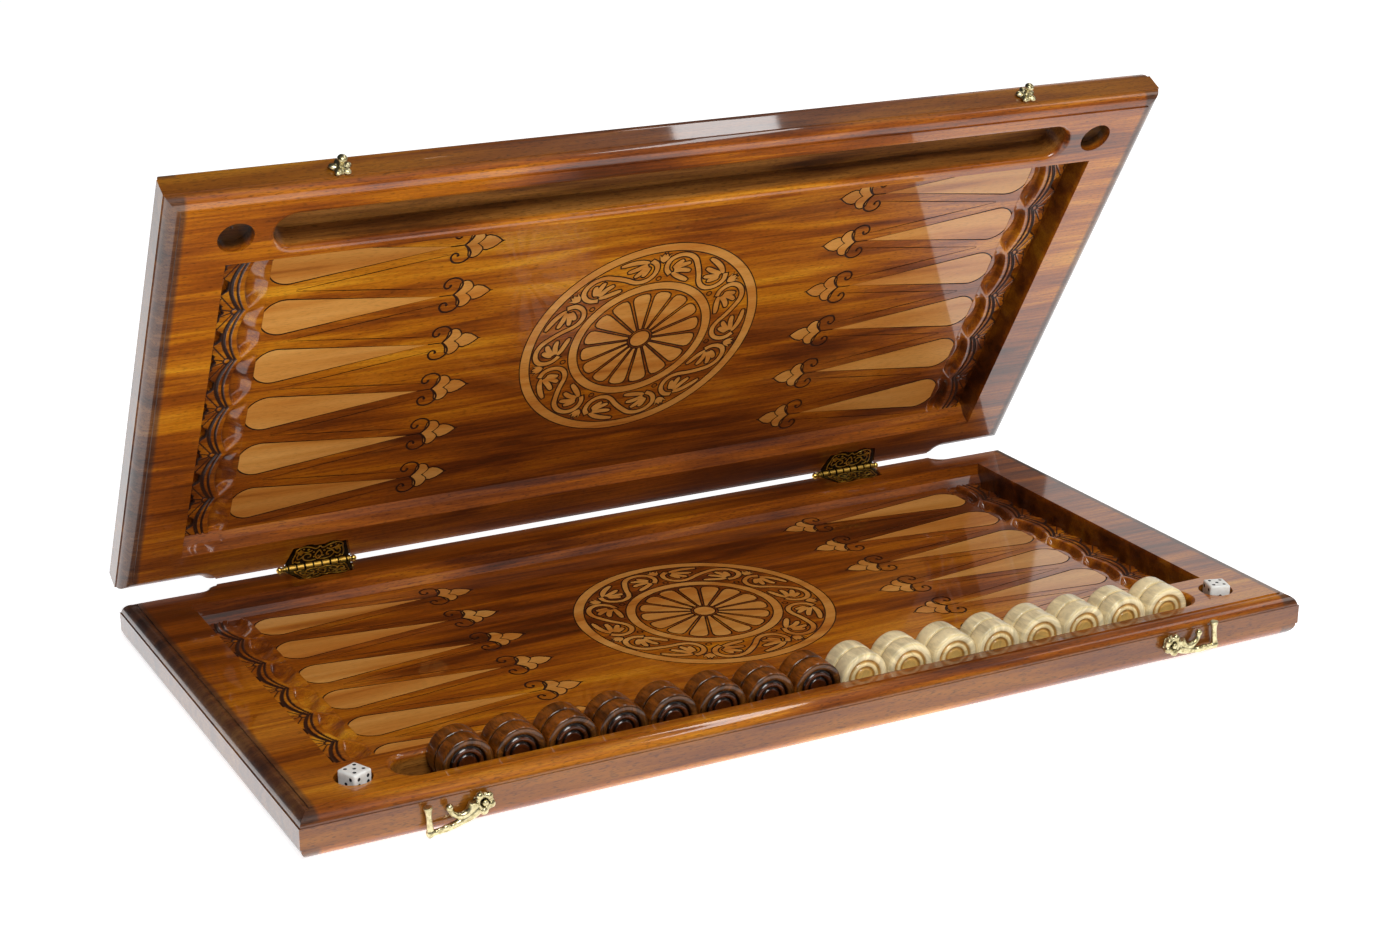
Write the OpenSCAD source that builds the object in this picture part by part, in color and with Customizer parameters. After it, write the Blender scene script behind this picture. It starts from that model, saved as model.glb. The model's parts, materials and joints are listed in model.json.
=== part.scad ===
// Folding backgammon board. Two equal slabs of wood, hollowed on their inner faces, are
// hinged along the back edge and hooked together at the front. The lower half carries a set
// of draughtsmen, which stand on edge in its trough, and two dice in its corner wells.
//
// The origin is the centre of the lower half's underside. +X runs along the hinge line, +Y
// towards the hinges and +Z up. Each half is drawn in its own frame: x along the hinge line,
// y = -s, where s is the distance from the hinge axis, and z = 0 on the flat rim, wood below.

/* [Board halves] */
// Length of each half, along the hinge line
board_l = 600; // [580:5:640]
// Distance from the hinge axis to the front face
board_reach = 300; // [298:1:320]
// Thickness of each half
board_t = 25; // [24:0.5:30]
// How far the lid is opened from closed, in degrees
rest_open = 60; // [0:5:180]
// Gap between the two rims when closed
close_gap = 0.3; // [0.2:0.1:1]

/* [Edge moulding] */
// Width of the moulding on the inner face
mould_w = 8; // [7:0.5:9]
// Depth of the moulding, from the rim to the side face
mould_h = 6.7; // [6:0.1:8]
// Radius of the round-over on the outer face's edges
outer_r = 7; // [4:0.5:8]
// How far the moulding runs in along the back edge from each end
back_run = 46; // [30:1:60]

/* [Playing field] */
// Length of the sunk field
field_l = 531; // [500:1:540]
// Distance from the hinge axis to the field's near edge
field_near = 27.5; // [24:0.5:34]
// Distance from the hinge axis to the field's far edge
field_far = 254; // [240:1:255]
// Depth of the field below the rim
field_depth = 11.7; // [6:0.1:12]
// Length of the deeper bed for the carving at each end
carving_l = 30; // [20:1:36]
// Depth of that bed below the rim
carving_depth = 15.5; // [12:0.5:16]

/* [Trough and dice wells] */
// Overall length of the trough at the rim
trough_l = 489; // [475:1:490]
// Distance from the hinge axis to the middle of the trough
trough_s = 271.3; // [270:0.1:273]
// Width of the trough below its rounded lip
trough_w = 23; // [22.2:0.1:23]
// Radius of the trough's rounded lip
trough_lip = 3; // [1:0.5:3]
// Depth of the trough
trough_depth = 16.3; // [15:0.1:18]
// Distance of each dice well from the middle
well_x = 262; // [258:1:268]
// Distance of the dice wells from the hinge axis
well_s = 272; // [268:1:276]
// Radius of the dice wells
well_r = 9.7; // [9:0.1:11]
// Depth of the dice wells
well_depth = 8; // [7:0.5:9]

/* [Draughtsmen and dice] */
// Diameter of a draughtsman
man_d = 28; // [24:0.5:28]
// Thickness of a draughtsman
man_t = 10; // [8:0.1:10.2]
// Clear space between neighbours in a row
man_gap = 0.4; // [0.3:0.1:1]
// Clear space between the front and back rows
row_gap = 0.8; // [0.3:0.1:1]
// Side of a die
die_a = 12; // [10:0.5:12.5]

/* [Hinges] */
// Distance of each hinge from the middle
hinge_x = 181; // [140:1:190]
// Width of a hinge leaf at the barrel
leaf_w = 39; // [36:0.5:42]
// Reach of a hinge leaf from the hinge axis
leaf_s = 18.5; // [17:0.5:20]
// Thickness of a hinge leaf
leaf_t = 1.4; // [1:0.1:1.6]
// Radius of the hinge barrel
barrel_r = 2.4; // [2:0.1:2.4]
// Radius of the hinge pin
pin_r = 1.1; // [0.9:0.05:1.2]

/* [Latches] */
// Distance of each latch and catch from the middle
latch_x = 207.5; // [120:0.5:240]
// Height of the latch pivot below the rim
latch_drop = 11.8; // [11:0.1:13]
// Height of the catch above the rim when closed
catch_rise = 11.3; // [11:0.1:12]
// Droop of the left latch's arm, in degrees
left_droop = 20; // [0:1:20]
// Droop of the right latch's arm, in degrees
right_droop = 10; // [0:1:20]

/* [Hidden] */
$fn = 64;
cut = 1;
hinge_setback = barrel_r + 0.4;
hinge_y = board_reach - (board_reach - hinge_setback) / 2;
hinge_z = board_t + close_gap / 2;
oak = "#8a4a18";
dark_wood = "#4a2a14";
light_wood = "#f0e4c0";
pale_brass = "#d8cf9a";
aged_brass = "#6e5a2c";
bone = "#f2f2ee";
MEN = 8;
SIDES = ["left", "right"];
ROWS = ["front", "back"];

function man_name(c, r, i) = str(c, "_man_", r, "_", i);
function sgn(side) = side == "left" ? -1 : 1;

// ---- placing ----

// From a half's own frame to the lower half's place.
module on_lower() { translate([0, hinge_y, board_t]) children(); }

// From a half's own frame to the lid's place: turned face down over the lower half, then
// swung up about the hinge axis.
module on_lid() {
    translate([0, hinge_y, hinge_z]) rotate([-rest_open, 0, 0])
        mirror([0, 0, 1]) translate([0, 0, -close_gap / 2]) children();
}

// ---- board half ----

// What the moulding takes off, with u inwards from the side face and v up from the rim. An
// ovolo lies between a small step at the rim and a small step at the side face.
module mould_profile(u_out = -cut) {
    step = 0.8;
    ovolo_r = mould_w - step - 0.6;
    difference() {
        translate([u_out, -mould_h]) square([mould_w - u_out, mould_h + cut]);
        translate([mould_w - step, -step - ovolo_r]) circle(ovolo_r);
        translate([mould_w - step, -mould_h - cut]) square([step + cut, mould_h + cut - step]);
        translate([step, -mould_h - cut]) square([mould_w, cut + step]);
    }
}

// What the round-over takes off the outer face's edge, with a small step at the side face.
module round_profile() {
    step = 0.8;
    reach = outer_r + step;
    difference() {
        translate([-cut, -cut]) square([reach + cut, outer_r + cut + 0.4]);
        translate([reach, outer_r]) circle(outer_r);
    }
}

// Runs a profile along x, with its u along +y from the edge and its v along +z.
module run_x(x0, x1) {
    translate([x0, 0, 0]) rotate([90, 0, 90]) linear_extrude(x1 - x0) children();
}

// Runs a profile along y at the end x = side * board_l / 2.
module run_end(side) {
    translate([side * board_l / 2, 0, 0]) mirror([side > 0 ? 1 : 0, 0, 0])
        rotate([90, 0, 0]) linear_extrude(board_reach + cut) children();
}

module moulding_cuts() {
    bit_r = 12;
    translate([0, -board_reach, 0]) run_x(-board_l / 2 - cut, board_l / 2 + cut) mould_profile();
    for (side = [-1, 1]) {
        run_end(side) mould_profile();
        // short return along the back edge, which runs out with the cutter's own radius
        translate([0, -hinge_setback, 0]) mirror([0, 1, 0]) {
            x_in = side * (board_l / 2 - back_run);
            x_out = side * (board_l / 2 + cut);
            run_x(min(x_in, x_out), max(x_in, x_out)) mould_profile();
            translate([x_in, mould_w - bit_r, 0]) rotate_extrude()
                translate([bit_r - mould_w, 0]) mould_profile(mould_w - bit_r);
        }
    }
}

module round_cuts() {
    translate([0, 0, -board_t]) {
        translate([0, -board_reach, 0]) run_x(-board_l / 2 - cut, board_l / 2 + cut) round_profile();
        for (side = [-1, 1]) run_end(side) round_profile();
    }
}

// The sunk playing field, sloped on its hinge side, and the deeper beds at its two ends.
module field_cuts() {
    slope = [1.2, 4.5];
    mirror([0, 1, 0]) run_x(-field_l / 2, field_l / 2) polygon([
        [field_near - cut * 0.1, cut], [field_near, 0], [field_near + slope[0], -field_depth * 0.6],
        [field_near + slope[1], -field_depth], [field_far, -field_depth], [field_far, cut]]);
    for (side = [-1, 1])
        translate([side > 0 ? field_l / 2 - carving_l : -field_l / 2, -field_far, -carving_depth])
            cube([carving_l, field_far - field_near - slope[1], carving_depth]);
}

// Half the trough's section, from its middle line outwards, with the rounded lip.
module trough_half() {
    r = trough_w / 2;
    difference() {
        translate([0, -trough_depth]) square([r + trough_lip, trough_depth + cut]);
        translate([r, -trough_depth - cut]) square([trough_lip + cut, trough_depth + cut - trough_lip]);
        translate([r + trough_lip, -trough_lip]) circle(trough_lip);
    }
}

module trough_cuts() {
    x_end = trough_l / 2 - trough_w / 2 - trough_lip;
    translate([0, -trough_s, 0]) {
        for (side = [-1, 1]) translate([side * x_end, 0, 0]) rotate_extrude() trough_half();
        run_x(-x_end, x_end) trough_half();
        mirror([0, 1, 0]) run_x(-x_end, x_end) trough_half();
    }
}

// A flat-bottomed bore with the shallow ring and centre mark that the drill leaves.
module well_cuts() {
    for (side = [-1, 1]) translate([side * well_x, -well_s, -well_depth]) {
        cylinder(r = well_r, h = well_depth + cut);
        translate([0, 0, -0.8]) cylinder(r1 = 0.2, r2 = 1.2, h = 0.9);
    }
}

module leaf_outline(grow) {
    tip_w = 31.6;
    polygon([[-leaf_w / 2 - grow, -hinge_setback], [-leaf_w / 2 - grow, -hinge_setback - 1.5],
             [-tip_w / 2 - grow, -leaf_s + 1.5 - grow], [tip_w / 2 + grow, -leaf_s + 1.5 - grow],
             [leaf_w / 2 + grow, -hinge_setback - 1.5], [leaf_w / 2 + grow, -hinge_setback]]);
    for (x = [-1, 1]) translate([x * 7.6, -leaf_s + 7.6]) circle(7.6 + grow);
}

screw_places = [[-11.5, -12.6], [11.5, -12.6]];
leaf_top = -0.1;

module mortise_cuts() {
    for (side = [-1, 1]) translate([side * hinge_x, 0, 0]) {
        translate([0, 0, leaf_top - leaf_t]) linear_extrude(leaf_t + cut) {
            leaf_outline(0.9);
            translate([-leaf_w / 2 - 0.9, -hinge_setback - cut]) square([leaf_w + 1.8, 2 * cut]);
        }
        for (p = screw_places) translate([p[0], p[1], -9.5]) cylinder(r = 1, h = 9.5);
    }
}

module face_pilots(drop) {
    for (side = [-1, 1]) translate([side * latch_x, -board_reach, -drop])
        rotate([90, 0, 0]) translate([0, 0, -9]) cylinder(r = 1.5, h = 9 + cut);
}

module board_half(drop) {
    difference() {
        translate([-board_l / 2, -board_reach, -board_t])
            cube([board_l, board_reach - hinge_setback, board_t]);
        moulding_cuts();
        round_cuts();
        field_cuts();
        trough_cuts();
        well_cuts();
        mortise_cuts();
        face_pilots(drop);
    }
}

module lower_board() { color(oak) on_lower() board_half(latch_drop); }
module lid_board() { color(oak) on_lid() board_half(catch_rise); }

// ---- hinges ----

knuckles = 7;
knuckle_gap = 0.3;
// Height of the hinge axis over a half's rim
axis_up = close_gap / 2;

// Knuckles of one leaf, about the hinge axis. The lid has the odd ones, counted from the end.
module knuckle_row(first) {
    pitch = leaf_w / knuckles;
    for (i = [first:2:knuckles - 1])
        translate([-leaf_w / 2 + i * pitch + knuckle_gap / 2, 0, axis_up]) {
            rotate([0, 90, 0]) cylinder(r = barrel_r, h = pitch - knuckle_gap);
            translate([0, -hinge_setback - 0.6, leaf_top - leaf_t - axis_up])
                cube([pitch - knuckle_gap, hinge_setback + 0.6, leaf_t]);
        }
}

module hinge_leaf(side, first) {
    translate([side * hinge_x, 0, 0]) difference() {
        union() {
            translate([0, 0, leaf_top - leaf_t]) linear_extrude(leaf_t) leaf_outline(0);
            knuckle_row(first);
        }
        translate([-leaf_w / 2 - cut, 0, axis_up]) rotate([0, 90, 0])
            cylinder(r = pin_r + 0.05, h = leaf_w + 2 * cut);
        for (p = screw_places) translate([p[0], p[1], 0]) {
            translate([0, 0, -3]) cylinder(r = 1.15, h = 3);
            translate([0, 0, leaf_top - 0.8]) cylinder(r = 2.1, h = 1);
        }
    }
}

// Pin with a turned finial at each end.
module hinge_pin(side) {
    color(aged_brass) on_lower() translate([side * hinge_x, 0, axis_up]) rotate([0, 90, 0]) {
        translate([0, 0, -leaf_w / 2 - 1]) cylinder(r = pin_r, h = leaf_w + 2);
        for (end = [0, 1]) mirror([0, 0, end]) translate([0, 0, leaf_w / 2 + 0.15]) {
            cylinder(r = 2.2, h = 1.1);
            translate([0, 0, 1]) cylinder(r = 1.3, h = 1);
            translate([0, 0, 3.2]) sphere(1.9);
        }
    }
}

module hinge_screws() {
    for (side = [-1, 1], p = screw_places) translate([side * hinge_x + p[0], p[1], 0]) {
        translate([0, 0, leaf_top - 0.8]) cylinder(r = 1.9, h = 0.7);
        translate([0, 0, -9]) cylinder(r = 0.95, h = 8.5);
    }
}

// ---- latches and catches ----

pivot_r = 1.5;
boss_h = 1.8;
arm_out = 3.4;
arm_t = 2.4;

// Places a part on the lower half's front face, with its own +z out of the face and its
// own +x outboard.
module on_front(side) {
    on_lower() translate([side * latch_x, -board_reach, -latch_drop])
        rotate([90, 0, 0]) mirror([side > 0 ? 0 : 1, 0, 0]) children();
}

// A petalled boss.
module rosette(r, h) {
    cylinder(r = r * 0.72, h = h);
    for (i = [0:5]) rotate(i * 60) translate([r * 0.64, 0, 0]) cylinder(r = r * 0.36, h = h * 0.8);
}

// Fixed pivot: a boss on the face, a stem through the latch's eye, and a round head.
module latch_pivot(side) {
    color(pale_brass) on_front(side) {
        rosette(5.2, boss_h);
        translate([0, 0, -8]) cylinder(r = 1.4, h = 8.5);
        cylinder(r = pivot_r, h = 6);
        translate([0, 0, arm_out + arm_t / 2 + 0.3]) cylinder(r = 2.9, h = 1);
        translate([0, 0, arm_out + arm_t / 2 + 1.2]) sphere(1.7);
    }
}

// Bent rod: part of a ring of radius ring_r about [x, z], from angle a0 through sweep degrees.
module bent_rod(at, ring_r, a0, sweep, r) {
    translate([at[0], at[1], arm_out]) rotate(a0) rotate_extrude(angle = sweep)
        translate([ring_r, 0]) circle(r);
}

// Swan-neck latch: an eye, a long curved arm, a short curled tip, and an upright post at the
// far end. The catch's stem sits between the tip and the post when the latch is swung up.
module latch(side, droop) {
    knob = [30, 0];
    lean = 16;
    color(pale_brass) on_front(side) rotate(-droop) {
        difference() {
            union() {
                translate([0, 0, arm_out - arm_t / 2]) cylinder(r = 3.9, h = arm_t);
                bent_rod([15, 38], 40.9, 249.5, 42, 1.25);
                bent_rod([10.5, 5.8], 6.4, 195, 185, 1.15);
            }
            cylinder(r = pivot_r + 0.05, h = 12);
        }
        translate([16.8, 7, arm_out]) sphere(1.5);
        translate([knob[0], knob[1], arm_out]) {
            sphere(2.2);
            rotate([-90, 0, lean]) {
                cylinder(r1 = 1.25, r2 = 0.95, h = 13);
                translate([0, 0, 11.5]) cylinder(r1 = 0.95, r2 = 2, h = 2.5);
            }
        }
    }
}

// Catch on the lid's front face: a petalled boss, a stem and a round head.
module lid_catch(side) {
    color(pale_brass) on_lid() translate([side * latch_x, -board_reach, -catch_rise])
        rotate([90, 0, 0]) {
            cylinder(r = 5.2, h = 0.9);
            cylinder(r = 3.4, h = 2.1);
            translate([0, 0, -8]) cylinder(r = 1.4, h = 8.5);
            cylinder(r = 1.9, h = 6.4);
            translate([0, 0, 7.6]) sphere(2.7);
        }
}

// ---- draughtsmen and dice ----

seat_gap = 0.15;
man_pitch = man_d + man_gap;
// Right-hand edge of the last light draughtsman
men_right = 234;

// A draughtsman, with its axis along z: a turned ring groove and a dished middle on each
// face, and rounded edges.
module man() {
    r = man_d / 2;
    rotate_extrude() difference() {
        translate([0, -man_t / 2]) square([r, man_t]);
        for (face = [-1, 1]) {
            translate([r - 3.4, face * man_t / 2]) circle(0.8);
            translate([r - 6.2, face * man_t / 2]) circle(0.7);
            translate([0, face * (man_t / 2 + 30 - 1.1)]) circle(30, $fn = 256);
            translate([r, face * man_t / 2]) rotate(45) square(1.8, center = true);
        }
    }
}

// Row 0 is the front one. Places count from the left: eight dark, then eight light.
module man_in_trough(shade, row, i) {
    place = (shade == "dark" ? 0 : MEN) + i - 1;
    x = men_right - man_d / 2 - (2 * MEN - 1 - place) * man_pitch;
    s = trough_s + (row == 0 ? 1 : -1) * (man_t + row_gap) / 2;
    color(shade == "dark" ? dark_wood : light_wood) on_lower()
        translate([x, -s, -trough_depth + seat_gap + man_d / 2]) rotate([90, 0, 0]) man();
}

// A die with clipped corners and drilled pips: five on top and two below, and round
// the sides six, four, one and three.
module die(side, turn) {
    a = die_a / 2;
    q = die_a * 0.26;
    pip_r = 1.1;
    middle = [[0, 0]];
    pair = [[q, q], [-q, -q]];
    other_pair = [[q, -q], [-q, q]];
    sides = [[q, 0], [-q, 0]];
    pips = [
        [[0, 0, 0], concat(middle, pair, other_pair)],
        [[180, 0, 0], pair],
        [[90, 0, 0], concat(pair, other_pair, sides)],
        [[0, 90, 0], concat(pair, other_pair)],
        [[-90, 0, 0], middle],
        [[0, -90, 0], concat(middle, other_pair)]
    ];
    color(bone) on_lower() translate([side * well_x + 0.6, -well_s, -well_depth + seat_gap + a])
        rotate(turn) difference() {
            intersection() {
                cube(die_a, center = true);
                sphere(die_a * 0.775, $fn = 96);
            }
            for (f = pips, p = f[1])
                rotate(f[0]) translate([p[0], p[1], a + 0.5]) sphere(pip_r, $fn = 16);
        }
}

lower_board();
lid_board();
for (h = SIDES) {
    color(aged_brass) on_lower() hinge_leaf(sgn(h), 1);
    color(aged_brass) on_lid() hinge_leaf(sgn(h), 0);
    hinge_pin(sgn(h));
    latch(sgn(h), h == "left" ? left_droop : right_droop);
    latch_pivot(sgn(h));
    lid_catch(sgn(h));
    die(sgn(h), h == "left" ? 25 : 163);
}
color(pale_brass) on_lower() hinge_screws();  // lower_hinge_screws
color(pale_brass) on_lid() hinge_screws();  // lid_hinge_screws
for (shade = ["dark", "light"], row = [0, 1], i = [1:MEN])
    man_in_trough(shade, row, i);
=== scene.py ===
import json
import math

import bpy
import bmesh
from mathutils import Matrix, Vector
from mathutils.geometry import delaunay_2d_cdt


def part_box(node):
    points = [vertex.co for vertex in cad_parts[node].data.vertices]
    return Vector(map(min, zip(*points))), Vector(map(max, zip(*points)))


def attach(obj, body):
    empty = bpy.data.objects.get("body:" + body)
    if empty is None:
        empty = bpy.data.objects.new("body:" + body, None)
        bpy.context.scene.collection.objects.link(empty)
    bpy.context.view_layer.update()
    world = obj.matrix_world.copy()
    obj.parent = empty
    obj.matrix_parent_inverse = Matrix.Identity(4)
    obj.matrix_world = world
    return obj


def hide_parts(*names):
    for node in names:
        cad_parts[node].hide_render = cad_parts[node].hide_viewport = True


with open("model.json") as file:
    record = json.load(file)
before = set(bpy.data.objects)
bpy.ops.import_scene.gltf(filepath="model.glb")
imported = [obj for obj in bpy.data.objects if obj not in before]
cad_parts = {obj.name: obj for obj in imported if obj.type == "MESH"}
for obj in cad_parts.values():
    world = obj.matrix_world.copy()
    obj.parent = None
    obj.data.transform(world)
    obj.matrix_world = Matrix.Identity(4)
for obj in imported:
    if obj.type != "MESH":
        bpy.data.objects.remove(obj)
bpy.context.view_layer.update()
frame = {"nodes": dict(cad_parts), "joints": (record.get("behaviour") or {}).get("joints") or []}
nodes = frame["nodes"]
mm = 0.001
print("frame loaded,", len(nodes), "nodes")

lidHinge = next(j for j in frame["joints"] if j["name"] == "lid_hinge")
hingeLine = Vector(lidHinge["pos_m"])
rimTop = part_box("lower_board")[1].z

board = {
    "openAngle": 60,       # degrees from closed
    "fieldHalf": 265.5,    # mm, inside faces of the end walls
    "bedHalf": 235.5,      # mm, where the carved beds begin
    "fieldNear": 31.9,     # mm from the hinge line
    "fieldFar": 254.0,
    "fieldTop": -11.0,     # mm below the rim
    "cadFloor": -11.7,
    "bedFloor": -15.5,
}

# Each half has its own frame: x along the hinge line, z = 0 on the rim, and y away from the
# hinge line on the lid, towards it on the lower half.
lowerPlace = Matrix.Translation((0, hingeLine.y, rimTop))
lidPlace = (Matrix.Translation(hingeLine)
            @ Matrix.Rotation(math.radians(180 - board["openAngle"]), 4, "X")
            @ Matrix.Translation((0, 0, rimTop - hingeLine.z)))
halves = {"lower": ("lower_half", lowerPlace, -1), "lid": ("lid", lidPlace, 1)}


def linearColour(hexText):
    # sRGB hex to the linear values that shaders take
    parts = [int(hexText.lstrip("#")[i:i + 2], 16) / 255 for i in (0, 2, 4)]
    return tuple(c / 12.92 if c <= 0.04045 else ((c + 0.055) / 1.055) ** 2.4 for c in parts) + (1.0,)


def addNode(tree, kind, inputs=None, stops=None, **settings):
    made = tree.nodes.new(kind)
    for name, value in settings.items():
        setattr(made, name, value)
    if stops:
        ramp = made.color_ramp
        while len(ramp.elements) < len(stops):
            ramp.elements.new(0.5)
        for element, (place, colour) in zip(ramp.elements, stops):
            element.position = place
            element.color = linearColour(colour) if isinstance(colour, str) else (colour, colour,
                                                                                  colour, 1)
    for name, value in (inputs or {}).items():
        socket = made.inputs[name]
        if isinstance(value, bpy.types.NodeSocket):
            tree.links.new(value, socket)
        else:
            socket.default_value = value
    return made


def newMaterial(name):
    made = bpy.data.materials.new(name)
    made.use_nodes = True
    made.node_tree.nodes.clear()
    return made, made.node_tree


def finishMaterial(tree, shader):
    out = addNode(tree, "ShaderNodeOutputMaterial")
    tree.links.new(shader.outputs["BSDF"], out.inputs["Surface"])


def boardCoordinates(tree, place=None):
    # object coordinates turned into the half's own frame; pieces drawn there need no turn
    coords = addNode(tree, "ShaderNodeTexCoord").outputs["Object"]
    if place is None:
        return coords
    back = place.inverted()
    return addNode(tree, "ShaderNodeMapping", {
        "Vector": coords, "Location": back.to_translation(),
        "Rotation": back.to_euler()}).outputs["Vector"]


stainedBeech = {
    # grain layers: length along the board and width in mm, then detail and distortion
    "grain": {"flame": (130, 12, 5.0, 0.8), "drift": (240, 55, 2.0, 0.3), "streak": (45, 1.4, 3.0, 0.0),
              "pore": (3.6, 0.42, 1.0, 0.0)},
    "pull": {"flame": 1.15, "drift": 0.9, "streak": 0.5},   # how far each layer moves the tone
    "tones": [(0.0, "#2C1002"), (0.25, "#5C2703"), (0.48, "#8E4705"), (0.68, "#B46909"),
              (1.0, "#DC9A22")],
    # darker trough tones: partly the trough's own darker wood, partly painted shade
    "troughWoodAndShadeTones": [(0.0, "#2A1407"), (0.3, "#5E3410"), (0.55, "#8E5A22"), (1.0, "#B98240")],
    # side faces: a darker copy of the same wood tones, painted shade
    "sideFaceShadeTones": [(0.0, "#3C1903"), (0.35, "#6B3606"), (0.6, "#834A08"), (1.0, "#9E6414")],
    # end mouldings: darker, greyer tones, painted shade and painted reflection
    "endMouldingShadeAndReflection": [(0.0, "#150F0D"), (0.5, "#3E2C22"), (1.0, "#6A4E3A")],
    "scorchAndShadeColour": "#120602",
    "endShade": 0.42,      # the sunk end walls, where the grain stands on end, darkened towards the floor by painted shade
    "wellShade": 0.35,     # the dice wells, darker than the trough by painted shade
    "endCover": 0.8, "sideCover": 0.45,   # how far the painted shade and painted reflection of the end mouldings, and the painted shade of the side faces, show
    # where those tones begin and are full: mm below the rim, from the hinge line or the middle
    "sunk": (2, 5), "outerFace": 23,
    "trough": (256, 286.5), "wells": (248, 249),
    "endMoulding": (288.5, 290.5), "sideFace": (298.5, 299.4),
    "roughness": 0.40, "coatRoughness": 0.04, "specular": 0.25,
}

# Glued staves from the hinge line outwards: distance in mm and how golden each is, 0 to 1.
staves = {
    "lid": [(0, 0.40), (60, 0.46), (131, 0.44), (133, 0.52), (172, 0.56), (174, 0.62), (258, 0.56),
            (262, 0.46), (300, 0.50)],
    "lower": [(0, 0.38), (78, 0.36), (80, 0.44), (128, 0.40), (131, 0.50), (196, 0.52), (198, 0.58),
              (300, 0.50)],
}


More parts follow.
